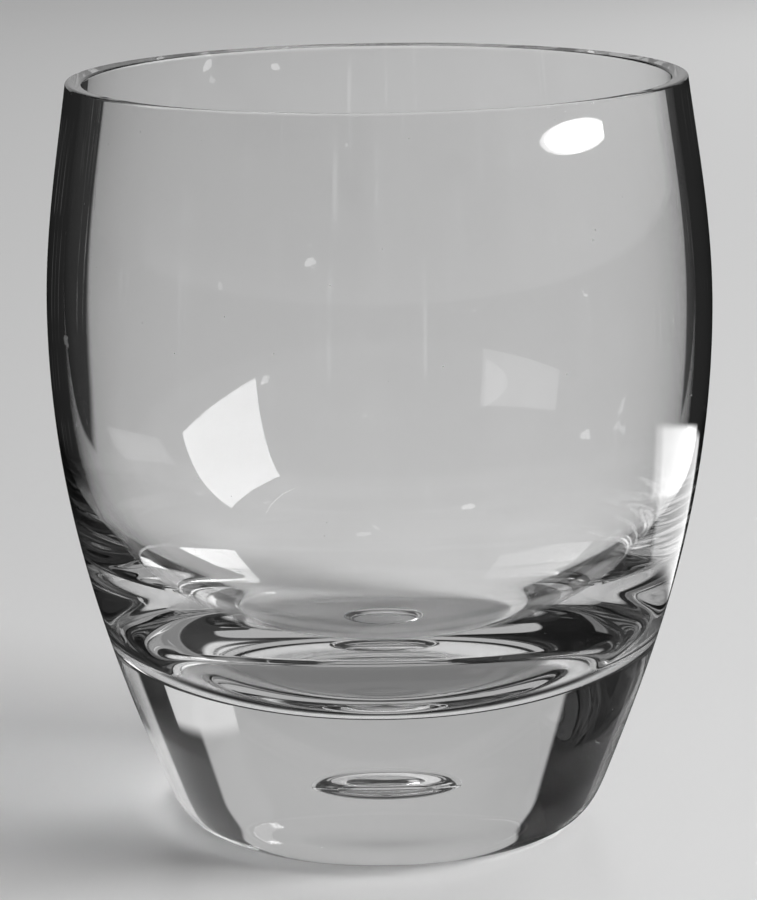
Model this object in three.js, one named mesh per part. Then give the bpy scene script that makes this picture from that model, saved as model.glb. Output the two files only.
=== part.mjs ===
// A double old fashioned glass: a barrel-shaped tumbler with a heavy base and one flat
// oval of air trapped in that base. It is worked hot from two gathers of clear glass.
// The upper gather is blown into the bowl, the lower one is laid on as the base, and
// the air stays between them in a hollow that each gather holds half of.
// Millimetres, +Z up, the axis on Z and the foot on z = 0.
import * as THREE from 'three';

// Outside of the glass
const HEIGHT = 105; // foot to the top of the rim
const RIM_RADIUS = 42.6; // outside, at the rim
const RIM_EDGE = 0.4; // rounding of the outer and the inner edge of the rim
const BELLY_RADIUS = 46.1; // outside, at the widest point
const BELLY_DROP = 32.8; // from the rim down to the widest point
const FOOT_RADIUS = 24.6; // flat disc that the glass stands on
const HEEL_WIDTH = 7.3; // rounded heel, outwards from the edge of the foot
const HEEL_HEIGHT = 6.8; // rounded heel, up to where the side starts
const SIDE_LEAN_DEG = 20.9; // outward lean of the side where it leaves the heel
const RIM_LEAN_DEG = 8.1; // inward lean of the wall at the rim

// How far the outside holds its direction along the curve before it bends away
const FOOT_HOLD = 4.1; // from the edge of the foot outwards
const HEEL_HOLD = 5.1; // from the top of the heel downwards
const SIDE_HOLD = 20.4; // from the top of the heel upwards
const BELLY_HOLD_BELOW = 26.3; // from the widest point downwards
const BELLY_HOLD_ABOVE = 11.9; // from the widest point upwards
const RIM_HOLD = 10.9; // from the rim downwards

// Inside of the bowl
const WALL = 2.3; // even wall, from the rim down to where it starts to thicken
const EVEN_WALL_DROP = 12.3; // from the widest point down to where the wall starts to thicken
const WALL_HOLD = 19.7; // how far the inside follows the wall below that point
const FLOOR_HOLD = 34.8; // how far the floor stays near level from the axis

// Glass and air in the base, stacked up from the foot
const GLASS_UNDER_BUBBLE = 9.8;
const BUBBLE_DIP = 1.9; // depth of the bubble below its widest ring
const BUBBLE_CROWN = 2.8; // height of the bubble above its widest ring
const GLASS_OVER_BUBBLE = 7.4;
const BUBBLE_RADIUS = 6.8; // of the bubble's widest ring

// Facets
const FACETS_AROUND = 48;
const STEPS_LONG = 11; // on a long curve
const STEPS_SHORT = 5; // on a short curve
const STEPS_BUBBLE = 8; // on each half of the bubble's outline
const STEPS_RIM = 3; // on each edge of the rim

// Numbers for the working
const SAME_POINT = 1e-6; // points closer than this are one point
const HALVINGS = 50; // when a curve is searched for a height

// Heights that follow from the sizes above
const BELLY_HEIGHT = HEIGHT - BELLY_DROP;
const WELD_HEIGHT = GLASS_UNDER_BUBBLE + BUBBLE_DIP;
const FLOOR_HEIGHT = WELD_HEIGHT + BUBBLE_CROWN + GLASS_OVER_BUBBLE;
const EVEN_WALL_HEIGHT = BELLY_HEIGHT - EVEN_WALL_DROP;

// A point of a section: distance from the axis, height above the foot.
const point = (radius, height) => new THREE.Vector2(radius, height);

// A direction in a section, leaning out from upright by an angle in degrees.
function leaning(degrees) {
  const angle = THREE.MathUtils.degToRad(degrees);
  return point(Math.sin(angle), Math.cos(angle));
}

// Points along a part of a curve, both ends included.
function along(curve, from, to, steps) {
  return Array.from({ length: steps + 1 }, (_, i) => curve.getPoint(from + ((to - from) * i) / steps));
}

// Points along an arc of a circle in the section, both ends included.
function arc(centre, radius, fromAngle, toAngle, steps) {
  const path = new THREE.EllipseCurve(centre.x, centre.y, radius, radius, fromAngle, toAngle, toAngle < fromAngle);
  return along(path, 0, 1, steps);
}

// Where a rising curve reaches a height, as the curve's own parameter.
function parameterAtHeight(curve, height) {
  let below = 0;
  let above = 1;
  for (let i = 0; i < HALVINGS; i += 1) {
    const middle = (below + above) / 2;
    if (curve.getPoint(middle).y < height) below = middle;
    else above = middle;
  }
  return (below + above) / 2;
}

// Points on the inner side of a wall of even thickness whose outside is a part of a curve.
function insideOf(curve, from, to, steps) {
  return Array.from({ length: steps + 1 }, (_, i) => {
    const t = from + ((to - from) * i) / steps;
    const tangent = curve.getTangent(t);
    return curve.getPoint(t).addScaledVector(point(-tangent.y, tangent.x), WALL);
  });
}

// Half of the bubble's outline, from its widest ring to the axis: a quarter of an oval that
// bulges by rise (down if negative).
function bubbleCap(rise) {
  const axisAngle = (Math.sign(rise) * Math.PI) / 2;
  const path = new THREE.EllipseCurve(0, WELD_HEIGHT, BUBBLE_RADIUS, Math.abs(rise), 0, axisAngle, rise < 0);
  return along(path, 0, 1, STEPS_BUBBLE);
}

// A solid turned about the glass's axis from a section that starts and ends on that axis.
// Where two runs of the section meet, their shared point is kept once.
function turned(name, section, material) {
  const outline = section.filter((p, i) => i === 0 || p.distanceTo(section[i - 1]) > SAME_POINT);
  outline[0].x = 0;
  outline.at(-1).x = 0;
  const solid = new THREE.LatheGeometry(outline, FACETS_AROUND);
  solid.rotateX(Math.PI / 2);
  const mesh = new THREE.Mesh(solid, material);
  mesh.name = name;
  return mesh;
}

// The outside, as one curve round the heel, one up to the widest point and one from there to the rim
const heelTop = point(FOOT_RADIUS + HEEL_WIDTH, HEEL_HEIGHT);
const heel = new THREE.CubicBezierCurve(
  point(FOOT_RADIUS, 0),
  point(FOOT_RADIUS + FOOT_HOLD, 0),
  heelTop.clone().addScaledVector(leaning(SIDE_LEAN_DEG), -HEEL_HOLD),
  heelTop,
);
const lowerSide = new THREE.CubicBezierCurve(
  heelTop,
  heelTop.clone().addScaledVector(leaning(SIDE_LEAN_DEG), SIDE_HOLD),
  point(BELLY_RADIUS, BELLY_HEIGHT - BELLY_HOLD_BELOW),
  point(BELLY_RADIUS, BELLY_HEIGHT),
);

// The rim: cut square across the leaning wall, with two rounded edges
const rimAngle = THREE.MathUtils.degToRad(RIM_LEAN_DEG);
const acrossRim = point(Math.cos(rimAngle), Math.sin(rimAngle));
const outerEdgeCentre = point(RIM_RADIUS - RIM_EDGE, HEIGHT - RIM_EDGE);
const innerEdgeCentre = outerEdgeCentre.clone().addScaledVector(acrossRim, 2 * RIM_EDGE - WALL);
const rimOutside = outerEdgeCentre.clone().addScaledVector(acrossRim, RIM_EDGE);
const upperSide = new THREE.CubicBezierCurve(
  point(BELLY_RADIUS, BELLY_HEIGHT),
  point(BELLY_RADIUS, BELLY_HEIGHT + BELLY_HOLD_ABOVE),
  rimOutside.clone().addScaledVector(leaning(-RIM_LEAN_DEG), -RIM_HOLD),
  rimOutside,
);

// The inside below the even wall: one curve that sweeps from the wall round to the floor
const weldAt = parameterAtHeight(lowerSide, WELD_HEIGHT);
const evenWallAt = parameterAtHeight(lowerSide, EVEN_WALL_HEIGHT);
const evenWallBelow = insideOf(lowerSide, 1, evenWallAt, STEPS_SHORT);
const evenWallEnd = evenWallBelow.at(-1);
const sweep = new THREE.CubicBezierCurve(
  evenWallEnd,
  evenWallEnd.clone().addScaledVector(lowerSide.getTangent(evenWallAt), -WALL_HOLD),
  point(FLOOR_HOLD, FLOOR_HEIGHT),
  point(0, FLOOR_HEIGHT),
);

// Clear glass, and the air in it
const clearGlass = new THREE.MeshStandardMaterial({
  color: 0xe4e9e8,
  roughness: 0.03,
  metalness: 0,
  transparent: true,
  opacity: 0.35,
});
const trappedAir = new THREE.MeshStandardMaterial({
  color: 0xf6f8f8,
  roughness: 0.02,
  metalness: 0,
  transparent: true,
  opacity: 0.15,
});

// The bowl: blown wall, rim and thick floor, down to the weld with the base
const bowl = turned(
  'bowl',
  [
    ...bubbleCap(BUBBLE_CROWN).reverse(),
    ...along(lowerSide, weldAt, 1, STEPS_LONG),
    ...along(upperSide, 0, 1, STEPS_LONG),
    ...arc(outerEdgeCentre, RIM_EDGE, rimAngle, Math.PI / 2, STEPS_RIM),
    ...arc(innerEdgeCentre, RIM_EDGE, Math.PI / 2 + rimAngle, Math.PI + rimAngle, STEPS_RIM),
    ...insideOf(upperSide, 1, 0, STEPS_LONG),
    ...evenWallBelow,
    ...along(sweep, 0, 1, 2 * STEPS_LONG),
  ],
  clearGlass,
);

// The base: the gather under the weld, with the flat foot and the rounded heel
const base = turned(
  'base',
  [
    point(0, 0),
    ...along(heel, 0, 1, STEPS_LONG),
    ...along(lowerSide, 0, weldAt, STEPS_SHORT),
    ...bubbleCap(-BUBBLE_DIP),
  ],
  clearGlass,
);

// The air trapped between the two gathers, filling the hollow that they close
const airBubble = turned(
  'air_bubble',
  [...bubbleCap(-BUBBLE_DIP).reverse(), ...bubbleCap(BUBBLE_CROWN)],
  trappedAir,
);

const glass = new THREE.Group();
glass.add(bowl, base, airBubble);

export default glass;
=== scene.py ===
import math

import bpy
from mathutils import Matrix, Vector


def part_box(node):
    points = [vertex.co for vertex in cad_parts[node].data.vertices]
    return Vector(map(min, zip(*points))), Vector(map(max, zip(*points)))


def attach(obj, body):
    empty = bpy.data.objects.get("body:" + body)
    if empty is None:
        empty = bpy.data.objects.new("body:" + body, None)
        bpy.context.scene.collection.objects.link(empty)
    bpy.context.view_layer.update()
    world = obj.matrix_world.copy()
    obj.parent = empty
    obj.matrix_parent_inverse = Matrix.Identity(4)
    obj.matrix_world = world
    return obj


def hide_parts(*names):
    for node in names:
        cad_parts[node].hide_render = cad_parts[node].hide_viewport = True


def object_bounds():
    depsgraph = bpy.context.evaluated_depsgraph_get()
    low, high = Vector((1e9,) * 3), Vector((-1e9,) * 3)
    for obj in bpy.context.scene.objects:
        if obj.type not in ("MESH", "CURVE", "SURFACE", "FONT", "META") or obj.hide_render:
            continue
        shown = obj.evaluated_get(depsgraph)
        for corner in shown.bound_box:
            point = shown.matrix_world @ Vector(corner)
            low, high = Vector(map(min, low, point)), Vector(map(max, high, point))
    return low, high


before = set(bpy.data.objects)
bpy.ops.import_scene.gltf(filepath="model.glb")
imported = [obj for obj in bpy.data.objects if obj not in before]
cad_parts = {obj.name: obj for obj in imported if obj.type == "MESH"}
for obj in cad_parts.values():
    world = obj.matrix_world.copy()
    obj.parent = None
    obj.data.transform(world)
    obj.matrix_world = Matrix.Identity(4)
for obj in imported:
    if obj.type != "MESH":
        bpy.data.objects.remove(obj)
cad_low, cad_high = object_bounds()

# A double old fashioned glass: a barrel-shaped tumbler with a heavy base that holds one flat
# oval of air. Two pieces are turned about the glass's axis, the bowl and the base. They are
# fused on the plane of the bubble's widest ring, so nothing shows where they meet.
# Metres, +Z up, the axis on Z and the foot on z = 0.

# Outside of the glass
HEIGHT = cad_high.z
BELLY_RADIUS = cad_high.x
RIM_RADIUS = 0.0426
RIM_EDGE = 0.0004
BELLY_DROP = 0.0328
FOOT_RADIUS = 0.0246
HEEL_WIDTH = 0.0073
HEEL_HEIGHT = 0.0068
SIDE_LEAN = math.radians(20.9)
RIM_LEAN = math.radians(8.1)
FOOT_HOLD = 0.0041
HEEL_HOLD = 0.0051
SIDE_HOLD = 0.0204
BELLY_HOLD_BELOW = 0.0263
BELLY_HOLD_ABOVE = 0.0119
RIM_HOLD = 0.0109

# Inside of the bowl
WALL = 0.0023
EVEN_WALL_DROP = 0.0123
WALL_HOLD = 0.0197
FLOOR_HOLD = 0.0348
GLASS_OVER_BUBBLE = 0.0074

# The trapped air and the plane where bowl and base are fused
bubble_low, bubble_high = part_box("air_bubble")
BUBBLE_RADIUS = bubble_high.x
WELD_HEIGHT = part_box("base")[1].z
BUBBLE_DIP = WELD_HEIGHT - bubble_low.z
BUBBLE_CROWN = bubble_high.z - WELD_HEIGHT

# Heights that follow from the sizes above
BELLY_HEIGHT = HEIGHT - BELLY_DROP
FLOOR_HEIGHT = bubble_high.z + GLASS_OVER_BUBBLE
EVEN_WALL_HEIGHT = BELLY_HEIGHT - EVEN_WALL_DROP

# Fineness of the turned surfaces
FACETS_AROUND = 192
STEPS_LONG = 48
STEPS_SHORT = 20
STEPS_RIM = 8
STEPS_FLAT = 4
SAME_POINT = 1e-7
HALVINGS = 50

# Clear glass, and the thin film that hands and water leave on it
GLASS_IOR = 1.52
GLASS_TINT = (0.97, 0.97, 0.97, 1.0)
FILM_TINT = (0.92, 0.92, 0.92, 1.0)

# Dried streaks of water: how many in one radian round the glass, the lengths of a streak and of a
# dash, and the heights between which they fade in. An edge is where noise starts and ends a mark.
STREAKS_PER_RADIAN = 44.0
STREAK_LENGTH = 0.036
STREAK_EDGE = (0.64, 0.74)
DASH_LENGTH = 0.006
DASH_EDGE = (0.42, 0.56)
STREAKS_FADE_IN = (0.050, 0.066)

# Smudges that hands leave, specks of dust and small scuffs
SMUDGE_SIZE = 0.022
SMUDGE_DETAIL = 4.0
SMUDGE_EDGE = (0.54, 0.76)
SPECK_SPACING = 0.0034
SPECK_SIZE = 0.00016
SPECK_SHARE = 0.35
SCUFF_SIZE = 0.007
SCUFF_DETAIL = 4.0
SCUFF_EDGE = (0.735, 0.75)

# Roughness of each kind of mark, and the painted glow, an emission that stands in for the light that
# scuffs and streaks scatter
SMUDGE_ROUGHNESS = 0.02
STREAK_ROUGHNESS = 0.1
SPECK_ROUGHNESS = 0.5
RUB_ROUGHNESS = 0.3
SCUFF_ROUGHNESS = 0.2
SCUFF_PAINTED_GLOW = 0.2
STREAK_PAINTED_GLOW = 0.05

# Slow waves that blowing leaves in the surface
RIPPLE_SIZE = 0.035
RIPPLE_HEIGHT = 0.00003

# Rubbed marks where the glass slides on tables
RUB_SIZE = 0.0008
RUB_LENGTH = 0.006
RUB_DETAIL = 3.0
RUB_EDGE = (0.35, 0.75)
RUB_FADE_IN = (0.019, 0.0245)

# Camera of the photograph
IMAGE_WIDTH = 757
IMAGE_HEIGHT = 900
FOCAL_PIXELS = 3371.7
SENSOR = 0.036
MILLIMETRES = 1000.0
CAMERA_DISTANCE = 0.4619
CAMERA_HEIGHT = 0.1569
CAMERA_PITCH = math.radians(12.76)
CAMERA_YAW = math.radians(-0.055)
CAMERA_ROLL = math.radians(0.82)

# Floor, a little under the foot so that the two surfaces stay apart
FLOOR_RADIUS = 4.0
FLOOR_DROP = 0.0002
FLOOR_GREY = 0.76
FLOOR_ROUGHNESS = 0.3

# What the glass shows of the floor: a pale strip that widens behind it, narrow pale arms all
# round, painted dark ground between them that draws the edges of the glass, and one painted pool
# of light. The dark ground and the pool are fixed levels of emission, not lit by the lamps.
# The strip has one value for the left side and one for the right. A reach is how far from the
# axis, and a turn how far round from straight behind, a change starts and ends.
STRIP_HALF_WIDTH = (0.043, 0.038)
STRIP_SPREAD = (0.215, 0.34)
ARM_STEP = 45.0
ARM_HALF_WIDTH = 0.048
ARM_SPREAD = 0.07
PALE_EDGE = 0.010
DARK_REACH = (0.06, 0.12)
DARK_LEFT_NEAR = 0.05
DARK_LEFT_FAR = 0.006
DARK_LEFT_TURN = (25.0, 35.0)
DARK_RIGHT = 0.12

# The same painted dark ground as the outer side of the glass mirrors it. The turn is the sine of the
# azimuth here, and the level has one value for the left side and one for the right.
MIRRORED_REACH = (0.045, 0.06)
MIRRORED_TURN = (0.3, 0.8)
MIRRORED_LEVEL = (0.006, 0.02)

# The same painted dark ground as the inner sides mirror it
INNER_REACH = (0.09, 0.16)
INNER_LEVEL = 0.02

# Painted shade on the ground close to the foot, as an inner side mirrors it once: its reach, and where
# it starts and ends behind and before the glass, as the cosine of the azimuth
UNDER_REACH = (0.038, 0.055)
UNDER_BACK = (0.85, 0.97)
UNDER_FRONT = (-0.3, -0.1)
UNDER_FRONT_SHADE_LEVEL = 0.2

# The painted pool of light, an emission on the floor that one reflection shows: from one azimuth to
# another, and from one distance to another
POOL_AZIMUTH = (34.0, 72.0)
POOL_REACH = (0.105, 0.22)
POOL_TURN = 4.0
POOL_EDGE = 0.015
PAINTED_POOL_LIGHT = 2.0

# Light of the room, as the camera, the floor and the glass see it
PALE_BACKGROUND = 0.55
AMBIENT = 0.26
ROOM_GREY = 0.45

# The pale backdrop, an arch: middle, half width and top in degrees, softness and light
BACKDROP_MIDDLE = 2.2
BACKDROP_HALF_WIDTH = 32.2
BACKDROP_TOP = 60.0
BACKDROP_SOFTNESS = 0.025
BACKDROP_LIGHT = 0.57

# Panels of the room, in degrees round from +Y towards +X and degrees above the horizon:
# left edge, right edge, bottom, top, rise for each degree round, softness,
# light straight through the glass and light by reflection
ROOM_PANELS = {
    "rear_left": (-180.0, -78.0, 0.0, 60.0, 0.0, 6.0, 0.4, 0.03),
    "rear_right": (135.0, 180.0, 0.0, 60.0, 0.0, 6.0, 0.4, 0.2),
    "left_grey": (-76.0, -58.0, 18.0, 50.0, 0.0, 3.0, 0.22, 0.22),
    "left_dark": (-62.0, -10.0, -10.0, 62.0, 0.0, 1.2, 0.008, 0.008),
    "low_left_dark": (-92.0, -58.0, -10.0, 18.0, 0.0, 2.0, 0.04, 0.005),
    "right_dark": (10.0, 55.0, -10.0, 62.0, 0.0, 1.5, 0.05, 0.05),
    "right_pale": (56.0, 80.0, 5.0, 35.0, 0.0, 1.5, 0.9, 0.3),
    "back_glow": (38.0, 72.0, 36.0, 56.0, 0.0, 5.0, 1.0, 1.0),
    "overhead": (-200.0, 200.0, 57.0, 200.0, 0.0, 4.0, 0.03, 0.03),
}

# The same for a low bright place that stands before the edge of the backdrop
LOW_GLOW = (23.5, 42.0, -8.0, 0.0, 0.29, 0.3, 0.95, 0.05)

# The window as the glass shows it: its edges as those of a panel, its light after one reflection,
# its light after more or by way of the base, its light straight through the glass, and the piece
# of it that a single wall mirrors
WINDOW_EDGES = (91.0, 129.0, 19.4, 51.0, -0.127, 0.5)
WINDOW_SEEN = 22.0
WINDOW_SEEN_AGAIN = 2.0
WINDOW_STRAIGHT = 1.0
MIRRORED_EDGES = (92.0, 121.0, -4.104, -3.6, 0.0944, 0.02)

# A pale place on the left, which only the inner side of the bowl mirrors
BOWL_MIRROR_EDGES = (-139.0, -105.0, -30.0, -5.2, -0.1176, 0.4)
BOWL_MIRROR_LIGHT = 2.4

# Surfaces that light passes in one wall of the glass, and in a lamp that isn't shown
ONE_WALL = 2.0
ONE_LAMP = 1.0

# Lamps that light the floor from two windows: distance in metres, then azimuth, half width, bottom
# and top in degrees, and light
WINDOW_LIGHT = 14.3
LAMPS = {
    "side_window": (1.0, 106.0, 17.0, 9.0, 41.0, WINDOW_LIGHT),
    "back_window": (1.44, 34.0, 12.0, 10.0, 28.0, 10.0),
}

# Bounces of light, enough for glass
PATH_BOUNCES = 32
MIRROR_BOUNCES = 24

UP = Vector((0.0, 0.0, 1.0))


# Section of the glass: runs of (place, heading) pairs, a place being (radius, height)


def leaning(angle):
    """The direction that leans out from upright by an angle."""
    return Vector((math.sin(angle), math.cos(angle)))


def straight(start, end, steps):
    """A run along a straight line."""
    heading = (end - start).normalized()
    return [(start.lerp(end, i / steps), heading) for i in range(steps + 1)]


def arc(centre, radius, start_angle, end_angle, steps):
    """A run along an arc of a circle."""
    turn = math.copysign(1.0, end_angle - start_angle)
    run = []
    for i in range(steps + 1):
        angle = start_angle + (end_angle - start_angle) * i / steps
        outward = Vector((math.cos(angle), math.sin(angle)))
        run.append((centre + radius * outward, turn * Vector((-outward.y, outward.x))))
    return run


def bezier_place(handles, t):
    """The place on a cubic curve at its parameter t."""
    a, b, c, d = handles
    s = 1.0 - t
    return a * s**3 + b * (3 * s * s * t) + c * (3 * s * t * t) + d * t**3


def bezier_heading(handles, t):
    """The heading of a cubic curve at its parameter t."""
    a, b, c, d = handles
    s = 1.0 - t
    return ((b - a) * (s * s) + (c - b) * (2 * s * t) + (d - c) * (t * t)).normalized()


def along(handles, start, end, steps, inset=0.0):
    """A run along a part of a cubic curve, moved to its left by inset."""
    turn = math.copysign(1.0, end - start)
    run = []
    for i in range(steps + 1):
        t = start + (end - start) * i / steps
        heading = bezier_heading(handles, t)
        left = Vector((-heading.y, heading.x))
        run.append((bezier_place(handles, t) + inset * left, turn * heading))
    return run


def parameter_at_height(handles, height):
    """Where a rising curve reaches a height, as the curve's own parameter."""
    below, above = 0.0, 1.0
    for _ in range(HALVINGS):
        middle = (below + above) / 2
        if bezier_place(handles, middle).y < height:
            below = middle
        else:
            above = middle
    return (below + above) / 2


def bubble_cap(rise_height):
    """Half of the bubble's outline, from its widest ring to the axis: a quarter of an oval that
    bulges by rise_height (down if negative)."""
    run = []
    for i in range(STEPS_SHORT + 1):
        angle = math.pi / 2 * i / STEPS_SHORT
        out, up = math.cos(angle), math.sin(angle)
        place = Vector((BUBBLE_RADIUS * out, WELD_HEIGHT + rise_height * up))
        run.append((place, Vector((-BUBBLE_RADIUS * up, rise_height * out)).normalized()))
    return run


def turned_back(run):
    """The same run, gone along the other way."""
    return [(place, -heading) for place, heading in reversed(run)]


foot_edge = Vector((FOOT_RADIUS, 0.0))
heel_top = Vector((FOOT_RADIUS + HEEL_WIDTH, HEEL_HEIGHT))
heel = (
    foot_edge,
    foot_edge + FOOT_HOLD * leaning(math.pi / 2),
    heel_top - HEEL_HOLD * leaning(SIDE_LEAN),
    heel_top,
)
belly = Vector((BELLY_RADIUS, BELLY_HEIGHT))
lower_side = (
    heel_top,
    heel_top + SIDE_HOLD * leaning(SIDE_LEAN),
    belly - BELLY_HOLD_BELOW * leaning(0.0),
    belly,
)
across_rim = Vector((math.cos(RIM_LEAN), math.sin(RIM_LEAN)))
outer_edge_centre = Vector((RIM_RADIUS - RIM_EDGE, HEIGHT - RIM_EDGE))
inner_edge_centre = outer_edge_centre + (2 * RIM_EDGE - WALL) * across_rim
outer_edge = arc(outer_edge_centre, RIM_EDGE, RIM_LEAN, RIM_LEAN + math.pi / 2, STEPS_RIM)
inner_edge = arc(inner_edge_centre, RIM_EDGE, RIM_LEAN + math.pi / 2, RIM_LEAN + math.pi, STEPS_RIM)
rim_outside = outer_edge[0][0]
upper_side = (
    belly,
    belly + BELLY_HOLD_ABOVE * leaning(0.0),
    rim_outside - RIM_HOLD * leaning(-RIM_LEAN),
    rim_outside,
)
weld_at = parameter_at_height(lower_side, WELD_HEIGHT)
weld_outside = bezier_place(lower_side, weld_at)
bubble_ring = Vector((BUBBLE_RADIUS, WELD_HEIGHT))
even_wall_at = parameter_at_height(lower_side, EVEN_WALL_HEIGHT)
even_wall_end, even_wall_heading = along(lower_side, 1.0, even_wall_at, 1, WALL)[-1]
sweep = (
    even_wall_end,
    even_wall_end + WALL_HOLD * even_wall_heading,
    Vector((FLOOR_HOLD, FLOOR_HEIGHT)),
    Vector((0.0, FLOOR_HEIGHT)),
)


def ring(place):
    """The points that a section's place passes through as it is turned about the axis."""
    radius, height = place
    if radius < SAME_POINT:
        return [Vector((0.0, 0.0, height))]
    turns = [2 * math.pi * i / FACETS_AROUND for i in range(FACETS_AROUND)]
    return [Vector((radius * math.cos(a), radius * math.sin(a), height)) for a in turns]


def turned(name, runs):
    """A closed piece turned about the glass's axis from runs of its section, each with a material.
    Its normals are those of the true curves, so light bends in it as in a smooth surface."""
    points, faces, normals, face_runs = [], [], [], []
    last_place, last_ring = None, None

    def normal(heading, step):
        angle = 2 * math.pi * step / FACETS_AROUND
        return (heading.y * math.cos(angle), heading.y * math.sin(angle), -heading.x)

    for index, (material, run) in enumerate(runs):
        last_heading = None
        for place, heading in run:
            if last_place is None or (place - last_place).length > SAME_POINT:
                first = len(points)
                points.extend(ring(place))
                new_ring = list(range(first, len(points)))
            else:
                new_ring = last_ring
            if last_heading is not None and new_ring is not last_ring:
                for i in range(FACETS_AROUND):
                    j = (i + 1) % FACETS_AROUND
                    corners = [
                        (last_ring[i % len(last_ring)], last_heading, i),
                        (last_ring[j % len(last_ring)], last_heading, j),
                        (new_ring[j % len(new_ring)], heading, j),
                        (new_ring[i % len(new_ring)], heading, i),
                    ]
                    if len(last_ring) == 1:
                        del corners[0]
                    if len(new_ring) == 1:
                        del corners[-1]
                    faces.append([corner[0] for corner in corners])
                    normals.extend(normal(corner[1], corner[2]) for corner in corners)
                    face_runs.append(index)
            last_place, last_ring, last_heading = place, new_ring, heading

    mesh = bpy.data.meshes.new(name)
    mesh.from_pydata(points, [], faces)
    materials = list(dict.fromkeys(material for material, _ in runs))
    for material in materials:
        mesh.materials.append(material)
    mesh.polygons.foreach_set("material_index", [materials.index(runs[i][0]) for i in face_runs])
    mesh.polygons.foreach_set("use_smooth", [True] * len(faces))
    mesh.normals_split_custom_set(normals)
    piece = bpy.data.objects.new(name, mesh)
    bpy.context.scene.collection.objects.link(piece)
    return piece


# Shader nodes


def feed(tree, socket, value):
    """Gives a socket a plain value, or links another node's socket to it."""
    if isinstance(value, bpy.types.NodeSocket):
        tree.links.new(value, socket)
    else:
        socket.default_value = value


def calculate(tree, operation, *values):
    """A math node's result."""
    node = tree.nodes.new("ShaderNodeMath")
    node.operation = operation
    for socket, value in zip(node.inputs, values):
        feed(tree, socket, value)
    return node.outputs["Value"]


def rise(tree, value, low, high):
    """0 below low, 1 above high and a smooth rise between them."""
    node = tree.nodes.new("ShaderNodeMapRange")
    node.interpolation_type = "SMOOTHSTEP"
    feed(tree, node.inputs["Value"], value)
    feed(tree, node.inputs["From Min"], low)
    feed(tree, node.inputs["From Max"], high)
    return node.outputs["Result"]


def within(tree, value, low, high, softness):
    """1 between low and high and 0 outside them, with soft edges."""
    above_low = rise(tree, value, low, low + softness)
    above_high = rise(tree, value, high, high + softness)
    return calculate(tree, "SUBTRACT", above_low, above_high)


def mixed(tree, factor, first, second):
    """A mix of two values."""
    node = tree.nodes.new("ShaderNodeMix")
    feed(tree, node.inputs["Factor"], factor)
    feed(tree, node.inputs["A"], first)
    feed(tree, node.inputs["B"], second)
    return node.outputs["Result"]


def mixed_colour(tree, factor, first, second):
    """A mix of two colours."""
    node = tree.nodes.new("ShaderNodeMixRGB")
    feed(tree, node.inputs["Fac"], factor)
    feed(tree, node.inputs["Color1"], first)
    feed(tree, node.inputs["Color2"], second)
    return node.outputs["Color"]


def split(tree, vector):
    """The three numbers of a vector."""
    node = tree.nodes.new("ShaderNodeSeparateXYZ")
    feed(tree, node.inputs["Vector"], vector)
    return node.outputs


def joined(tree, x, y, z):
    """A vector of three numbers."""
    node = tree.nodes.new("ShaderNodeCombineXYZ")
    for socket, value in zip(node.inputs, (x, y, z)):
        feed(tree, socket, value)
    return node.outputs["Vector"]


def length_of(tree, x, y):
    """The length of a level vector."""
    square_x = calculate(tree, "MULTIPLY", x, x)
    square_y = calculate(tree, "MULTIPLY", y, y)
    return calculate(tree, "SQRT", calculate(tree, "ADD", square_x, square_y))


def cloudy(tree, vector, scale, detail=1.0):
    """Noise from 0 to 1."""
    node = tree.nodes.new("ShaderNodeTexNoise")
    feed(tree, node.inputs["Vector"], vector)
    feed(tree, node.inputs["Scale"], scale)
    feed(tree, node.inputs["Detail"], detail)
    return node.outputs["Fac"]


def place_on_piece(tree):
    """Where a point of a piece is, in the glass's own frame."""
    return tree.nodes.new("ShaderNodeTexCoord").outputs["Object"]


def new_group(name, inputs, outputs):
    """A node group with named number sockets, as the group and its two end nodes' sockets."""
    group = bpy.data.node_groups.new(name, "ShaderNodeTree")
    for socket_name in inputs:
        group.interface.new_socket(socket_name, in_out="INPUT", socket_type="NodeSocketFloat")
    for socket_name in outputs:
        group.interface.new_socket(socket_name, in_out="OUTPUT", socket_type="NodeSocketFloat")
    return group, group.nodes.new("NodeGroupInput").outputs, group.nodes.new("NodeGroupOutput").inputs


def place_group(tree, group, values):
    """A group placed in a material with its own values, as its outputs."""
    node = tree.nodes.new("ShaderNodeGroup")
    node.node_tree = group
    for name, value in values.items():
        feed(tree, node.inputs[name], value)
    return node.outputs


# Marks and waves of the glass's surface


def water_streaks_group():
    """Dried streaks where water ran down the bowl, broken into dashes: 1 on a streak, 0 beside it."""
    group, given, result = new_group("water_streaks", ["Amount"], ["Streaks"])
    x, y, z = split(group, place_on_piece(group))
    reach = length_of(group, x, y)
    per_radian = calculate(group, "DIVIDE", STREAKS_PER_RADIAN, reach)
    across_x = calculate(group, "MULTIPLY", x, per_radian)
    across_y = calculate(group, "MULTIPLY", y, per_radian)
    long_place = joined(group, across_x, across_y, calculate(group, "DIVIDE", z, STREAK_LENGTH))
    short_place = joined(group, across_x, across_y, calculate(group, "DIVIDE", z, DASH_LENGTH))
    streaks = rise(group, cloudy(group, long_place, 1.0), *STREAK_EDGE)
    dashes = rise(group, cloudy(group, short_place, 1.0), *DASH_EDGE)
    broken = calculate(group, "MULTIPLY", streaks, dashes)
    above_base = rise(group, z, *STREAKS_FADE_IN)
    shown = calculate(group, "MULTIPLY", given["Amount"], above_base)
    feed(group, result["Streaks"], calculate(group, "MULTIPLY", shown, broken))
    return group


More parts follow.
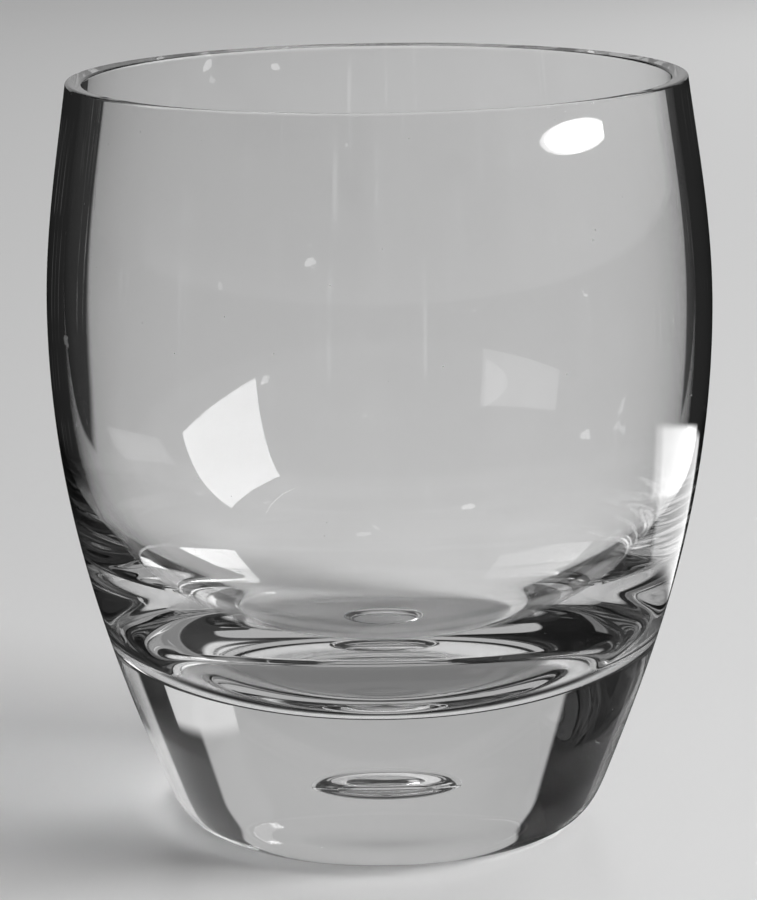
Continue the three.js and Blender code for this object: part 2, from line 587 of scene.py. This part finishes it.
def handling_group():
    """Smudges that hands leave, specks of dust and small scuffs: 1 on a mark, 0 on clean glass."""
    group, given, result = new_group("handling", ["Amount"], ["Smudges", "Specks", "Scuffs"])
    place = place_on_piece(group)
    smudges = rise(group, cloudy(group, place, 1.0 / SMUDGE_SIZE, SMUDGE_DETAIL), *SMUDGE_EDGE)
    cells = group.nodes.new("ShaderNodeTexVoronoi")
    feed(group, cells.inputs["Vector"], place)
    feed(group, cells.inputs["Scale"], 1.0 / SPECK_SPACING)
    chosen = calculate(group, "LESS_THAN", split(group, cells.outputs["Color"])[0], SPECK_SHARE)
    size = SPECK_SIZE / SPECK_SPACING
    dots = calculate(group, "SUBTRACT", 1.0, rise(group, cells.outputs["Distance"], size / 2, size))
    specks = calculate(group, "MULTIPLY", chosen, dots)
    scuffs = rise(group, cloudy(group, place, 1.0 / SCUFF_SIZE, SCUFF_DETAIL), *SCUFF_EDGE)
    for name, marks in (("Smudges", smudges), ("Specks", specks), ("Scuffs", scuffs)):
        feed(group, result[name], calculate(group, "MULTIPLY", given["Amount"], marks))
    return group


def blown_ripple_group():
    """The slow waves of a blown surface, as a height from 0 to 1 times the amount."""
    group, given, result = new_group("blown_ripple", ["Amount"], ["Height"])
    waves = cloudy(group, place_on_piece(group), 1.0 / RIPPLE_SIZE)
    feed(group, result["Height"], calculate(group, "MULTIPLY", given["Amount"], waves))
    return group


def rubbed_group():
    """Fine rubbed marks that run round the foot and the heel: 1 on a mark, 0 beside it."""
    group, given, result = new_group("rubbed", ["Amount"], ["Marks"])
    x, y, z = split(group, place_on_piece(group))
    reach = length_of(group, x, y)
    round_length = RUB_SIZE / RUB_LENGTH
    turned_place = joined(
        group,
        calculate(group, "MULTIPLY", x, round_length),
        calculate(group, "MULTIPLY", y, round_length),
        calculate(group, "ADD", reach, z),
    )
    fine = rise(group, cloudy(group, turned_place, 1.0 / RUB_SIZE, RUB_DETAIL), *RUB_EDGE)
    outer = rise(group, reach, *RUB_FADE_IN)
    marks = calculate(group, "MULTIPLY", fine, outer)
    feed(group, result["Marks"], calculate(group, "MULTIPLY", given["Amount"], marks))
    return group


water_streaks = water_streaks_group()
handling = handling_group()
blown_ripple = blown_ripple_group()
rubbed = rubbed_group()

# Materials of the glass


def new_material(name):
    """A material with an empty node tree, as the material and its tree."""
    material = bpy.data.materials.new(name)
    material.use_nodes = True
    tree = material.node_tree
    tree.nodes.clear()
    return material, tree


def clear_glass(name, streaks, marks, ripple, rubs):
    """Clear polished glass with its amounts of water streaks, hand marks, blown ripple and rubs. Its
    streaks and scuffs also get a faint painted glow, an emission that stands in for the light they
    scatter.
    """
    material, tree = new_material(name)
    shader = tree.nodes.new("ShaderNodeBsdfPrincipled")
    shader.inputs["Metallic"].default_value = 0.0
    shader.inputs["IOR"].default_value = GLASS_IOR
    shader.inputs["Transmission Weight"].default_value = 1.0
    water = place_group(tree, water_streaks, {"Amount": streaks})["Streaks"]
    hands = place_group(tree, handling, {"Amount": marks})
    rub_marks = place_group(tree, rubbed, {"Amount": rubs})["Marks"]
    film = calculate(tree, "MAXIMUM", water, hands["Smudges"])
    feed(tree, shader.inputs["Base Color"], mixed_colour(tree, film, GLASS_TINT, FILM_TINT))
    rough = calculate(tree, "MULTIPLY", hands["Smudges"], SMUDGE_ROUGHNESS)
    rough = calculate(tree, "MULTIPLY_ADD", water, STREAK_ROUGHNESS, rough)
    rough = calculate(tree, "MULTIPLY_ADD", hands["Specks"], SPECK_ROUGHNESS, rough)
    rough = calculate(tree, "MULTIPLY_ADD", rub_marks, RUB_ROUGHNESS, rough)
    rough = calculate(tree, "MULTIPLY_ADD", hands["Scuffs"], SCUFF_ROUGHNESS, rough)
    feed(tree, shader.inputs["Roughness"], rough)
    # Painted glow: scuffs and water streaks emit a faint light of their own, which stands in for the
    # light they scatter
    scuffs = calculate(tree, "MULTIPLY", hands["Scuffs"], SCUFF_PAINTED_GLOW)
    painted_glow = calculate(tree, "MULTIPLY_ADD", water, STREAK_PAINTED_GLOW, scuffs)
    feed(tree, shader.inputs["Emission Color"], joined(tree, painted_glow, painted_glow, painted_glow))
    shader.inputs["Emission Strength"].default_value = 1.0
    waves = tree.nodes.new("ShaderNodeBump")
    waves.inputs["Distance"].default_value = RIPPLE_HEIGHT
    feed(tree, waves.inputs["Height"], place_group(tree, blown_ripple, {"Amount": ripple})["Height"])
    feed(tree, shader.inputs["Normal"], waves.outputs["Normal"])
    output = tree.nodes.new("ShaderNodeOutputMaterial")
    tree.links.new(shader.outputs["BSDF"], output.inputs["Surface"])
    return material


def fused_joint():
    """The plane inside the glass where the two gathers are fused: nothing shows there."""
    material, tree = new_material("fused_joint")
    shader = tree.nodes.new("ShaderNodeBsdfPrincipled")
    shader.inputs["Alpha"].default_value = 0.0
    output = tree.nodes.new("ShaderNodeOutputMaterial")
    tree.links.new(shader.outputs["BSDF"], output.inputs["Surface"])
    return material


outside_glass = clear_glass("outside_glass", streaks=1.0, marks=1.0, ripple=1.0, rubs=0.0)
inside_glass = clear_glass("inside_glass", streaks=0.6, marks=0.5, ripple=1.0, rubs=0.0)
heel_glass = clear_glass("heel_glass", streaks=0.0, marks=0.5, ripple=0.5, rubs=0.1)
foot_glass = clear_glass("foot_glass", streaks=0.0, marks=0.3, ripple=0.5, rubs=0.3)
base_glass = clear_glass("base_glass", streaks=0.0, marks=0.5, ripple=1.0, rubs=0.0)
bubble_glass = clear_glass("bubble_glass", streaks=0.0, marks=0.0, ripple=0.5, rubs=0.0)
weld = fused_joint()

bowl = turned(
    "bowl_glass",
    [
        (bubble_glass, turned_back(bubble_cap(BUBBLE_CROWN))),
        (weld, straight(bubble_ring, weld_outside, STEPS_FLAT)),
        (outside_glass, along(lower_side, weld_at, 1.0, STEPS_LONG)),
        (outside_glass, along(upper_side, 0.0, 1.0, STEPS_LONG)),
        (outside_glass, outer_edge),
        (outside_glass, straight(outer_edge[-1][0], inner_edge[0][0], STEPS_FLAT)),
        (inside_glass, inner_edge),
        (inside_glass, along(upper_side, 1.0, 0.0, STEPS_LONG, WALL)),
        (inside_glass, along(lower_side, 1.0, even_wall_at, STEPS_SHORT, WALL)),
        (inside_glass, along(sweep, 0.0, 1.0, 2 * STEPS_LONG)),
    ],
)
base = turned(
    "base_glass",
    [
        (foot_glass, straight(Vector((0.0, 0.0)), foot_edge, STEPS_FLAT)),
        (heel_glass, along(heel, 0.0, 1.0, STEPS_LONG)),
        (base_glass, along(lower_side, 0.0, weld_at, STEPS_SHORT)),
        (weld, straight(weld_outside, bubble_ring, STEPS_FLAT)),
        (bubble_glass, bubble_cap(-BUBBLE_DIP)),
    ],
)
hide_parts("bowl")
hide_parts("base", "air_bubble")
for piece in (bowl, base):
    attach(piece, "root")

# Floor and room, by how far round and how high a place is


def bearing(tree, vector):
    """How far round and how high a vector points, in degrees, and how far it reaches over the ground."""
    x, y, z = split(tree, vector)
    reach = length_of(tree, x, y)
    azimuth = calculate(tree, "DEGREES", calculate(tree, "ARCTAN2", x, y))
    elevation = calculate(tree, "DEGREES", calculate(tree, "ARCTAN2", z, reach))
    return azimuth, elevation, reach


def beside_arm_group():
    """1 beside a pale arm of the floor that points to azimuth 0, and 0 on the arm."""
    group, given, result = new_group("beside_arm", ["Azimuth", "Reach", "Half Width", "Spread"], ["Mask"])
    angle = calculate(group, "RADIANS", given["Azimuth"])
    across = calculate(group, "MULTIPLY", given["Reach"], calculate(group, "SINE", angle))
    aside = calculate(group, "ABSOLUTE", across)
    out = calculate(group, "MULTIPLY", given["Reach"], calculate(group, "COSINE", angle))
    half_width = calculate(group, "MULTIPLY_ADD", out, given["Spread"], given["Half Width"])
    beside = rise(group, calculate(group, "SUBTRACT", aside, half_width), 0.0, PALE_EDGE)
    on_other_side = calculate(group, "LESS_THAN", out, 0.0)
    feed(group, result["Mask"], calculate(group, "MAXIMUM", beside, on_other_side))
    return group


def floor_material():
    """A pale, softly glossy floor. Only light that passed through glass or was mirrored on its way
    shows the painted dark ground, the painted shade by the foot and the painted pool of light on it,
    fixed levels of emission in place of the floor's shading."""
    material, tree = new_material("pale_floor")
    shader = tree.nodes.new("ShaderNodeBsdfPrincipled")
    shader.inputs["Base Color"].default_value = (FLOOR_GREY, FLOOR_GREY, FLOOR_GREY, 1.0)
    shader.inputs["Roughness"].default_value = FLOOR_ROUGHNESS
    rays = tree.nodes.new("ShaderNodeLightPath").outputs
    azimuth, _, reach = bearing(tree, tree.nodes.new("ShaderNodeNewGeometry").outputs["Position"])
    arm = beside_arm_group()
    on_right = calculate(tree, "GREATER_THAN", azimuth, 0.0)
    off_strip = place_group(tree, arm, {
        "Azimuth": azimuth,
        "Reach": reach,
        "Half Width": mixed(tree, on_right, *STRIP_HALF_WIDTH),
        "Spread": mixed(tree, on_right, *STRIP_SPREAD),
    })["Mask"]
    off_arms = place_group(tree, arm, {
        "Azimuth": calculate(tree, "WRAP", azimuth, ARM_STEP / 2, -ARM_STEP / 2),
        "Reach": reach,
        "Half Width": ARM_HALF_WIDTH,
        "Spread": ARM_SPREAD,
    })["Mask"]
    reflected = calculate(tree, "MINIMUM", rays["Glossy Depth"], 1.0)
    inside = calculate(tree, "MINIMUM", rays["Transmission Depth"], 1.0)
    # Painted dark ground: where rays through or off the glass see the floor as a dark emission
    outlying = rise(tree, reach, *DARK_REACH)
    off_both = calculate(tree, "MINIMUM", off_strip, off_arms)
    straight_dark = calculate(tree, "MULTIPLY", off_both, outlying)
    aside = calculate(tree, "SINE", calculate(tree, "RADIANS", azimuth))
    mirrored_right = rise(tree, aside, *MIRRORED_TURN)
    mirrored_dark = mixed(tree, mirrored_right, rise(tree, reach, *MIRRORED_REACH), 1.0)
    again = calculate(tree, "GREATER_THAN", rays["Glossy Depth"], 1.0)
    once = calculate(tree, "SUBTRACT", reflected, again)
    # Painted shade on the ground close to the foot, behind and before it, for rays that an inner side
    # mirrored once
    near = calculate(tree, "SUBTRACT", 1.0, rise(tree, reach, *UNDER_REACH))
    near_once = calculate(tree, "MULTIPLY", once, near)
    ahead = calculate(tree, "COSINE", calculate(tree, "RADIANS", azimuth))
    at_front = calculate(tree, "SUBTRACT", 1.0, rise(tree, ahead, *UNDER_FRONT))
    at_ends = calculate(tree, "MAXIMUM", at_front, rise(tree, ahead, *UNDER_BACK))
    painted_shade_by_foot = calculate(tree, "MULTIPLY", near_once, at_ends)
    painted_shade_before_foot = calculate(tree, "MULTIPLY", near_once, at_front)
    inner_level = mixed(tree, painted_shade_before_foot, INNER_LEVEL, UNDER_FRONT_SHADE_LEVEL)
    inner_dark = calculate(tree, "MAXIMUM", painted_shade_by_foot, rise(tree, reach, *INNER_REACH))
    reflected_dark = mixed(tree, inside, mirrored_dark, inner_dark)
    dark = mixed(tree, reflected, straight_dark, reflected_dark)
    far_left = rise(tree, calculate(tree, "ABSOLUTE", azimuth), *DARK_LEFT_TURN)
    left_level = mixed(tree, far_left, DARK_LEFT_NEAR, DARK_LEFT_FAR)
    straight_level = mixed(tree, on_right, left_level, DARK_RIGHT)
    mirrored_level = mixed(tree, mirrored_right, *MIRRORED_LEVEL)
    reflected_level = mixed(tree, inside, mirrored_level, inner_level)
    level = mixed(tree, reflected, straight_level, reflected_level)
    # Painted pool of light on the floor, for rays mirrored once
    in_pool_turn = within(tree, azimuth, *POOL_AZIMUTH, POOL_TURN)
    in_pool_reach = within(tree, reach, *POOL_REACH, POOL_EDGE)
    in_pool = calculate(tree, "MULTIPLY", in_pool_turn, in_pool_reach)
    pool = calculate(tree, "MULTIPLY", in_pool, once)
    # Painted dark ground and painted pool of light: emission at fixed levels that rays through or off the
    # glass see in place of the floor's shading
    ground = tree.nodes.new("ShaderNodeEmission")
    feed(tree, ground.inputs["Strength"], mixed(tree, pool, level, PAINTED_POOL_LIGHT))
    by_glass = calculate(tree, "MAXIMUM", rays["Is Transmission Ray"], rays["Is Glossy Ray"])
    both = tree.nodes.new("ShaderNodeMixShader")
    changed = calculate(tree, "MAXIMUM", dark, pool)
    feed(tree, both.inputs["Fac"], calculate(tree, "MULTIPLY", by_glass, changed))
    tree.links.new(shader.outputs["BSDF"], both.inputs[1])
    tree.links.new(ground.outputs["Emission"], both.inputs[2])
    output = tree.nodes.new("ShaderNodeOutputMaterial")
    tree.links.new(both.outputs["Shader"], output.inputs["Surface"])
    return material


def make_floor():
    """A wide round floor under the glass."""
    mesh = bpy.data.meshes.new("floor")
    edge = [2 * math.pi * i / FACETS_AROUND for i in range(FACETS_AROUND)]
    points = [(FLOOR_RADIUS * math.cos(a), FLOOR_RADIUS * math.sin(a), -FLOOR_DROP) for a in edge]
    mesh.from_pydata(points, [], [list(range(FACETS_AROUND))])
    mesh.materials.append(floor_material())
    floor = bpy.data.objects.new("floor", mesh)
    bpy.context.scene.collection.objects.link(floor)


def panel_group():
    """1 inside a panel of the room that is given by its edges, and 0 outside it."""
    names = ["Azimuth", "Elevation", "Left", "Right", "Bottom", "Top", "Slope", "Softness"]
    group, given, result = new_group("panel", names, ["Mask"])

    def above(value, edge):
        low = calculate(group, "SUBTRACT", edge, given["Softness"])
        high = calculate(group, "ADD", edge, given["Softness"])
        return rise(group, value, low, high)

    def between(value, low, high):
        return calculate(group, "SUBTRACT", above(value, low), above(value, high))

    across = between(given["Azimuth"], given["Left"], given["Right"])
    risen = calculate(group, "MULTIPLY", given["Azimuth"], given["Slope"])
    above_slope = calculate(group, "SUBTRACT", given["Elevation"], risen)
    upwards = between(above_slope, given["Bottom"], given["Top"])
    feed(group, result["Mask"], calculate(group, "MULTIPLY", across, upwards))
    return group


def make_room():
    """The world: a pale plain background, and the room as polished glass and the floor show it."""
    world = bpy.data.worlds.new("room")
    bpy.context.scene.world = world
    world.use_nodes = True
    tree = world.node_tree
    tree.nodes.clear()
    azimuth, elevation, _ = bearing(tree, tree.nodes.new("ShaderNodeTexCoord").outputs["Generated"])
    group = panel_group()
    names = ("Left", "Right", "Bottom", "Top", "Slope", "Softness")
    rays = tree.nodes.new("ShaderNodeLightPath").outputs
    reflected = calculate(tree, "MINIMUM", rays["Glossy Depth"], 1.0)

    def inside_of(edges):
        values = {"Azimuth": azimuth, "Elevation": elevation, **dict(zip(names, edges))}
        return place_group(tree, group, values)["Mask"]

    def with_panel(light_behind, panel):
        *edges, straight_level, reflected_level = panel
        level = mixed(tree, reflected, straight_level, reflected_level)
        return mixed(tree, inside_of(edges), light_behind, level)

    light = ROOM_GREY
    for room_panel in ROOM_PANELS.values():
        light = with_panel(light, room_panel)
    off_middle = calculate(tree, "SUBTRACT", azimuth, BACKDROP_MIDDLE)
    aside = calculate(tree, "DIVIDE", off_middle, BACKDROP_HALF_WIDTH)
    upwards = calculate(tree, "DIVIDE", elevation, BACKDROP_TOP)
    outward = length_of(tree, aside, upwards)
    off_backdrop = rise(tree, outward, 1.0 - BACKDROP_SOFTNESS, 1.0 + BACKDROP_SOFTNESS)
    light = with_panel(mixed(tree, off_backdrop, BACKDROP_LIGHT, light), LOW_GLOW)
    window = inside_of(WINDOW_EDGES)
    by_bowl = calculate(tree, "GREATER_THAN", rays["Transmission Depth"], ONE_WALL)
    again = calculate(tree, "GREATER_THAN", rays["Glossy Depth"], 1.0)
    by_base = calculate(tree, "GREATER_THAN", rays["Transparent Depth"], ONE_LAMP)
    dimmed = calculate(tree, "MAXIMUM", again, by_base)
    piece = mixed(tree, by_bowl, inside_of(MIRRORED_EDGES), window)
    mirrored_level = mixed(tree, dimmed, WINDOW_SEEN, WINDOW_SEEN_AGAIN)
    light = mixed(tree, piece, light, mixed(tree, reflected, WINDOW_STRAIGHT, mirrored_level))
    once_by_bowl = calculate(tree, "MULTIPLY", by_bowl, calculate(tree, "SUBTRACT", reflected, dimmed))
    bowl_mirror = calculate(tree, "MULTIPLY", once_by_bowl, inside_of(BOWL_MIRROR_EDGES))
    light = mixed(tree, bowl_mirror, light, BOWL_MIRROR_LIGHT)
    through_glass = calculate(tree, "MULTIPLY", window, rays["Is Transmission Ray"])
    on_floor = mixed(tree, through_glass, AMBIENT, WINDOW_LIGHT)
    light = mixed(tree, calculate(tree, "MINIMUM", rays["Diffuse Depth"], 1.0), light, on_floor)
    light = mixed(tree, rays["Is Camera Ray"], light, PALE_BACKGROUND)
    background = tree.nodes.new("ShaderNodeBackground")
    feed(tree, background.inputs["Strength"], light)
    output = tree.nodes.new("ShaderNodeOutputWorld")
    tree.links.new(background.outputs["Background"], output.inputs["Surface"])


def make_lamp(name, distance, azimuth, half_width, bottom, top, light):
    """A window's light on the floor, from an upright rectangle that faces the glass. The lamp itself
    isn't seen, because the world shows the window in its place."""
    low = distance * math.tan(math.radians(bottom))
    high = distance * math.tan(math.radians(top))
    lamp = bpy.data.lights.new(name, "AREA")
    lamp.shape = "RECTANGLE"
    lamp.size = 2 * distance * math.tan(math.radians(half_width))
    lamp.size_y = high - low
    lamp.energy = light * math.pi * lamp.size * lamp.size_y
    towards = Vector((math.sin(math.radians(azimuth)), math.cos(math.radians(azimuth)), 0.0))
    window = bpy.data.objects.new(name, lamp)
    window.location = distance * towards + (low + high) / 2 * UP
    window.rotation_mode = "QUATERNION"
    window.rotation_quaternion = (-towards).to_track_quat("-Z", "Y")
    window.visible_camera = False
    window.visible_glossy = False
    window.visible_transmission = False
    bpy.context.scene.collection.objects.link(window)


def make_camera():
    """The camera where the photograph was taken from."""
    lens = bpy.data.cameras.new("camera")
    lens.sensor_width = SENSOR * MILLIMETRES
    lens.lens = FOCAL_PIXELS * SENSOR * MILLIMETRES / max(IMAGE_WIDTH, IMAGE_HEIGHT)
    level_forward = Vector((math.sin(CAMERA_YAW), math.cos(CAMERA_YAW), 0.0))
    level_right = Vector((math.cos(CAMERA_YAW), -math.sin(CAMERA_YAW), 0.0))
    forward = level_forward * math.cos(CAMERA_PITCH) - UP * math.sin(CAMERA_PITCH)
    straight_up = level_forward * math.sin(CAMERA_PITCH) + UP * math.cos(CAMERA_PITCH)
    right = level_right * math.cos(CAMERA_ROLL) - straight_up * math.sin(CAMERA_ROLL)
    up = level_right * math.sin(CAMERA_ROLL) + straight_up * math.cos(CAMERA_ROLL)
    camera = bpy.data.objects.new("camera", lens)
    camera.matrix_world = Matrix((right, up, -forward)).transposed().to_4x4()
    camera.location = (0.0, -CAMERA_DISTANCE, CAMERA_HEIGHT)
    bpy.context.scene.collection.objects.link(camera)
    bpy.context.scene.camera = camera


make_floor()
make_room()
for lamp_name, lamp_sizes in LAMPS.items():
    make_lamp(lamp_name, *lamp_sizes)
make_camera()

# Light paths long enough for glass, and colours as they are written

scene = bpy.context.scene
scene.view_settings.view_transform = "Standard"
scene.cycles.max_bounces = PATH_BOUNCES
scene.cycles.glossy_bounces = MIRROR_BOUNCES
scene.cycles.transmission_bounces = PATH_BOUNCES
scene.cycles.transparent_max_bounces = PATH_BOUNCES
scene.cycles.blur_glossy = 0.0
